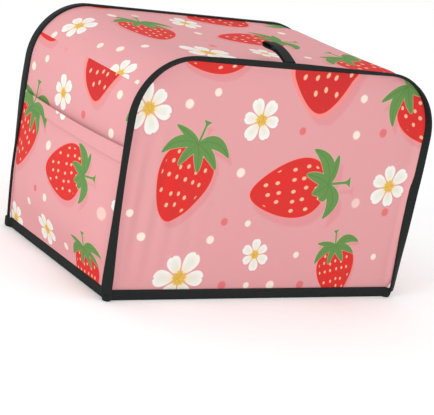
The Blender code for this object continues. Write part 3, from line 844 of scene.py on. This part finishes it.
def pocket_points():
    """The pocket as rows up its face, round the turned edge of its mouth and down the
    inside. It stands off the wall by a fullness that rises from the foot by a smooth
    step and falls to the two seams by a power of the share of the half width."""
    turn = np.radians(np.linspace(0, 180, 9))
    face = np.concatenate((np.linspace(POCKET_FOOT, 109, 42), np.linspace(109.5, 125, 32)))
    inside = np.linspace(125, 114.4, 8)
    z = np.concatenate((face, POCKET_MOUTH - MOUTH_TURN + MOUTH_TURN * np.sin(turn), inside))
    inward = np.concatenate((
        np.zeros(len(face)), MOUTH_TURN - MOUTH_TURN * np.cos(turn), np.full(len(inside), 2 * MOUTH_TURN),
    ))
    across = np.linspace(-1, 1, POCKET_COLUMNS)
    across = across + 0.5 * np.sin(np.pi * across) / np.pi
    z, across = np.meshgrid(z, across, indexing="ij")
    inward = np.repeat(inward[:, None], POCKET_COLUMNS, axis=1)
    y = across * np.where(across > 0, POCKET_BACK_EDGE, SEAM_HALF_DEPTH - 0.8)
    z = z + MOUTH_RISE * np.clip(-across, 0, 1) ** 1.5 * (z / POCKET_MOUTH) ** 3
    table = seam_table(0.0)
    share = np.interp(z, table[2][:WALL_STEPS], table[0][:WALL_STEPS])
    up = (z - HEM_HEIGHT) / (POCKET_MOUTH - HEM_HEIGHT)
    foot = smooth((z - HEM_HEIGHT) / POCKET_FILL)
    depth = POCKET_FULLNESS + (MOUTH_FULLNESS - POCKET_FULLNESS) * smooth((up - 0.45) / 0.55)
    power = np.where(y > 0, 1.7, 4.0)
    full = foot * depth * (1 - np.abs(across) ** power) ** 0.7
    band = 1.2 * smooth((z - POCKET_FOLD) / 2.0)
    band = band - 0.7 * np.exp(-((z - POCKET_FOLD + 0.6) / 1.4) ** 2)
    band = band * smooth((1 - np.abs(across)) * 20)
    laid = 0.8 - 0.6 * smooth(6 * across - 5)
    out = gusset_out(y, share, 0.0) + laid + full + band - inward
    return np.stack((left_line(y, z) - out, y, z), axis=-1)


POCKET_FRUITS = (
    # across (to the front), up, turn, size, width, darkness, kind, above the join
    (41.5, 92.1, 80.0, 0.88, 1.03, 0.0, 1, 1),
    (-63.5, 122.0, 20.0, 0.93, 1.00, 0.0, 0, 1),
    (54.5, 33.5, -4.0, 0.74, 1.03, 0.0, 0, 1),
)
POCKET_FLOWERS = (
    # across, up, turn, reach, above the join
    (-13.3, 25.0, 20, 16.0, 1),
    (-78.0, 12.0, 5, 15.0, 1),
    (99.0, 82.0, 0, 16.5, 1),
    (-12.0, 139.5, 10, 15.5, 1),
)
POCKET_DOTS = (
    # across, up, turn, radius, tone, above the join
    (-22.1, 98.0, 0, 4.0, 0, 1), (-11.0, 55.5, 0, 3.3, 0, 1), (-44.0, 41.1, 0, 3.3, 0, 1),
    (75.2, 71.1, 0, 5.2, 0.35, 1), (20.0, 21.5, 0, 3.3, 0, 1), (-30.7, 57.4, 0, 2.9, 1, 1),
)
patch_points = pocket_points()
patch_steps = np.linalg.norm(np.diff(patch_points[:, POCKET_COLUMNS // 2], axis=0), axis=1)
patch_up = POCKET_FOOT + np.concatenate(((0.0,), np.cumsum(patch_steps)))
patch_spots = np.stack((
    -patch_points[..., 1],
    np.broadcast_to(patch_up[:, None], patch_points.shape[:2]),
), axis=-1)
side_pocket = cloth_object(
    "printed_side_pocket", patch_points, patch_spots,
    POCKET_FRUITS, POCKET_FLOWERS, POCKET_DOTS, turned=True,
)
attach(side_pocket, "root")
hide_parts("side_pocket")


# Seam tapes: black woven binding tape, folded lengthwise round the flange of each panel
# and stitched through close to its inner edge, from the hem over the top to the hem.
TAPE_THICK = 2.4
TAPE_STEPS = 420
TAPE_FOOT = 4.0
RIB_PITCH = 0.0010


def flat_section(width, thick, width_power, thick_power):
    """Section of a tape round its middle: a box with round ends, as powers of cosine and
    sine. It gives the distances along and across the tape."""
    angle = np.radians(np.arange(0, 360, 20) + 10)
    cosine, sine = np.cos(angle), np.sin(angle)
    along = np.sign(cosine) * np.abs(cosine) ** width_power * width / 2
    across = np.sign(sine) * np.abs(sine) ** thick_power * thick / 2
    return along, across


def swept(name, sections, ring):
    """Closed bar through like sections, rows of points in millimetres above the hem. Its
    UV map runs along the bar and round its section, in metres."""
    count, around = sections.shape[:2]
    index = np.arange(count * around).reshape(count, around)
    ahead = np.roll(index, -1, axis=0) if ring else index[1:]
    here = index if ring else index[:-1]
    next_here, next_ahead = (np.roll(part, -1, axis=1) for part in (here, ahead))
    quads = np.stack((here, next_here, next_ahead, ahead), axis=-1)
    faces = quads.reshape(-1, 4).tolist()
    if not ring:
        faces += [index[0, ::-1].tolist(), index[-1].tolist()]
    mesh = bpy.data.meshes.new(name)
    mesh.from_pydata(sections.reshape(-1, 3) * MM + (0, 0, HEM_LEVEL), [], faces)
    mesh.shade_smooth()
    closed = np.concatenate((sections, sections[:1])) if ring else sections
    run = np.linalg.norm(np.diff(closed.mean(axis=1), axis=0), axis=1)
    run = np.concatenate(((0.0,), np.cumsum(run)))
    rounds = np.linalg.norm(sections[0] - np.roll(sections[0], -1, axis=0), axis=1)
    rounds = np.concatenate(((0.0,), np.cumsum(rounds)))
    first, second = np.meshgrid(np.arange(len(here)), np.arange(around), indexing="ij")
    along = np.stack((first, first, first + 1, first + 1), axis=-1)
    across = np.stack((second, second + 1, second + 1, second), axis=-1)
    corners = np.stack((run[along], rounds[across]), axis=-1).reshape(-1, 2) * MM
    if not ring:
        corners = np.concatenate((corners, np.zeros((2 * around, 2))))
    layer = mesh.uv_layers.new(name="tape")
    layer.data.foreach_set("uv", corners.astype(np.float32).ravel())
    mesh.materials.append(black_tape)
    piece = bpy.data.objects.new(name, mesh)
    scene.collection.objects.link(piece)
    return piece


black_tape = bpy.data.materials.new("black_tape")
black_tape.use_nodes = True
tape_surface = black_tape.node_tree.nodes["Principled BSDF"]
tape_surface.inputs["Roughness"].default_value = 0.7
tape_surface.inputs["Specular IOR Level"].default_value = 0.18
tape = Shade(black_tape.node_tree)
tape_map = tape.node("ShaderNodeUVMap", {"uv_map": "tape"}, {})
tape_colour = tape_map.noise(400.0, 2.0).between(colour(17, 22, 21), colour(28, 34, 32))
black_tape.node_tree.links.new(tape_colour.socket, tape_surface.inputs["Base Color"])
ribs = (tape_map.part(0) * (2 * math.pi / RIB_PITCH)).sine()
tape_relief = tape.node("ShaderNodeBump", {}, {"Strength": 0.35, "Distance": 0.0001, "Height": ribs})
black_tape.node_tree.links.new(tape_relief.socket, tape_surface.inputs["Normal"])


def seam_tape(name, side, flange):
    """A folded tape centred on the seam line, its section turned with the flange."""
    foot = TAPE_FOOT / FOOT_MEASURE
    share = np.linspace(foot, 1 - foot, TAPE_STEPS)
    x, z, normal_x, normal_z, width, turn = (part[:, None] for part in seam_at(side, share, flange))
    along, across = flat_section(width, TAPE_THICK, 0.35, 0.75)
    out = along * np.cos(turn) - across * np.sin(turn)
    forward = along * np.sin(turn) + across * np.cos(turn)
    y = side * (SEAM_HALF_DEPTH + forward)
    sections = np.stack((x + normal_x * out, y + 0 * out, z + normal_z * out), axis=-1)
    return swept(name, sections if side > 0 else sections[:, ::-1], ring=False)


front_tape = seam_tape("front_seam_tape", -1, FRONT_FLANGE)
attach(front_tape, "root")
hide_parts("front_binding")
back_tape = seam_tape("back_seam_tape", 1, BACK_FLANGE)
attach(back_tape, "root")
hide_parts("back_binding")


# Hem tape: the same tape folded up over the lower edge all the way round, and stitched
# through near its upper edge. At the four corners it stands out round the flanges.
HEM_CORNER = 3.5
HEM_CORNER_STEPS = 13
HEM_SIDE_STEPS = 60
# Side across and side in depth of each corner, and how far the tape stands out there
HEM_CORNERS = np.array(((1, -1, 4.5), (1, 1, 3.0), (-1, 1, 5.5), (-1, -1, 4.5)))
# Distance outside the cloth's face, height, and whether it stands out at the corners
HEM_PROFILE = np.array((
    (1.50, 1.0, 1), (1.62, 2.6, 1), (1.66, 4.5, 1), (1.62, 6.4, 1), (1.50, 8.0, 1),
    (1.25, 8.8, 1), (0.80, 9.1, 1), (0.35, 8.8, 1), (0.25, 7.0, 1), (0.25, 2.0, 1),
    (-1.60, 2.0, 0), (-1.80, 3.0, 0), (-1.80, 8.4, 0), (-2.10, 9.0, 0), (-2.70, 8.9, 0),
    (-3.00, 8.2, 0), (-3.05, 4.5, 0), (-2.95, 1.2, 0), (-2.50, 0.3, 0), (-1.60, 0.0, 0),
    (0.00, 0.0, 0.5), (0.90, 0.2, 1),
))


def hem_sections():
    """The tape's profile at steps round a rectangle with round corners, on the seam
    lines' own walls. At a corner it stands out by the sine of twice the turn."""
    rows = []
    for number in range(4):
        side_x, side_y, ear = HEM_CORNERS[number]
        next_x, next_y = HEM_CORNERS[(number + 1) % 4][:2]
        first = math.radians(270 + 90 * number)
        turn = np.linspace(0, math.pi / 2, HEM_CORNER_STEPS)
        flat = np.ones(HEM_CORNER_STEPS)
        rows.append(np.stack((
            side_x * flat, side_y * flat, np.cos(first + turn), np.sin(first + turn),
            ear * np.sin(2 * turn),
        ), axis=-1))
        t = np.arange(1, HEM_SIDE_STEPS) / HEM_SIDE_STEPS
        last = first + math.pi / 2
        rows.append(np.stack((
            side_x + (next_x - side_x) * t, side_y + (next_y - side_y) * t,
            math.cos(last) + 0 * t, math.sin(last) + 0 * t, 0 * t,
        ), axis=-1))
    share_x, share_y, out_x, out_y, ear = (part[:, None] for part in np.concatenate(rows).T)
    offset, z, stands = HEM_PROFILE.T
    z = z + 0 * share_x
    y = (SEAM_HALF_DEPTH - FACE_INSET - HEM_CORNER) * share_y + 0 * z
    backward = 0.5 + y / (2 * SEAM_HALF_DEPTH)
    inset = INSET_FRONT + (INSET_BACK - INSET_FRONT) * backward + HEM_CORNER
    left = left_line(y, z) + inset
    right = right_line(z) - inset
    x = (left + right) / 2 + (right - left) / 2 * share_x
    grown = HEM_CORNER + offset + ear * stands
    return np.stack((x + out_x * grown, y + out_y * grown, z), axis=-1)


hem_tape = swept("hem_tape", hem_sections()[:, ::-1], ring=True)
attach(hem_tape, "root")
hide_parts("hem_binding")


# Top loop: a short piece of the same tape, doubled, to lift the cover by. Both its ends
# are caught in the front seam, and it lies back over the top.
LOOP_MIDDLE = -10.2
LOOP_WIDTH = 11.0
LOOP_THICK = 1.2
LOOP_STRETCH_STEPS = 8
# Its middle line: distance behind the seam, and height over the seam's height
LOOP_ROUTE = np.array((
    (2.2, 0.7), (9.0, 3.8), (16.0, 6.3), (23.0, 7.2), (29.0, 7.2), (34.5, 7.2), (37.6, 7.9),
    (38.6, 9.5), (37.4, 11.0), (33.5, 11.4), (27.0, 11.1), (21.0, 10.1), (15.0, 8.4),
    (9.0, 5.9), (2.4, 2.7),
))


def loop_sections():
    """A flat section with round edges along a smooth curve through the route's points,
    each stretch a cubic of its four nearest points."""
    before = 2 * LOOP_ROUTE[0] - LOOP_ROUTE[1]
    after = 2 * LOOP_ROUTE[-1] - LOOP_ROUTE[-2]
    points = np.vstack((before, LOOP_ROUTE, after))
    a, b, c, d = (points[first:first + len(LOOP_ROUTE) - 1, None] for first in range(4))
    t = (np.arange(LOOP_STRETCH_STEPS) / LOOP_STRETCH_STEPS)[None, :, None]
    curve = 0.5 * (2 * b + (c - a) * t + (2 * a - 5 * b + 4 * c - d) * t ** 2
                   + (3 * b - a - 3 * c + d) * t ** 3)
    curve = np.vstack((curve.reshape(-1, 2), LOOP_ROUTE[-1:]))
    direction = np.gradient(curve, axis=0)
    direction /= np.linalg.norm(direction, axis=1)[:, None]
    wide, thick = flat_section(LOOP_WIDTH, LOOP_THICK, 0.25, 0.8)
    behind = curve[:, None, 0] - direction[:, None, 1] * thick
    above = curve[:, None, 1] + direction[:, None, 0] * thick
    return np.stack((
        LOOP_MIDDLE + wide + 0 * behind, -SEAM_HALF_DEPTH + behind, SEAM_HEIGHT + above,
    ), axis=-1)


top_loop = swept("lifting_loop", loop_sections()[:, ::-1], ring=False)
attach(top_loop, "root")
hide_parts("top_loop")
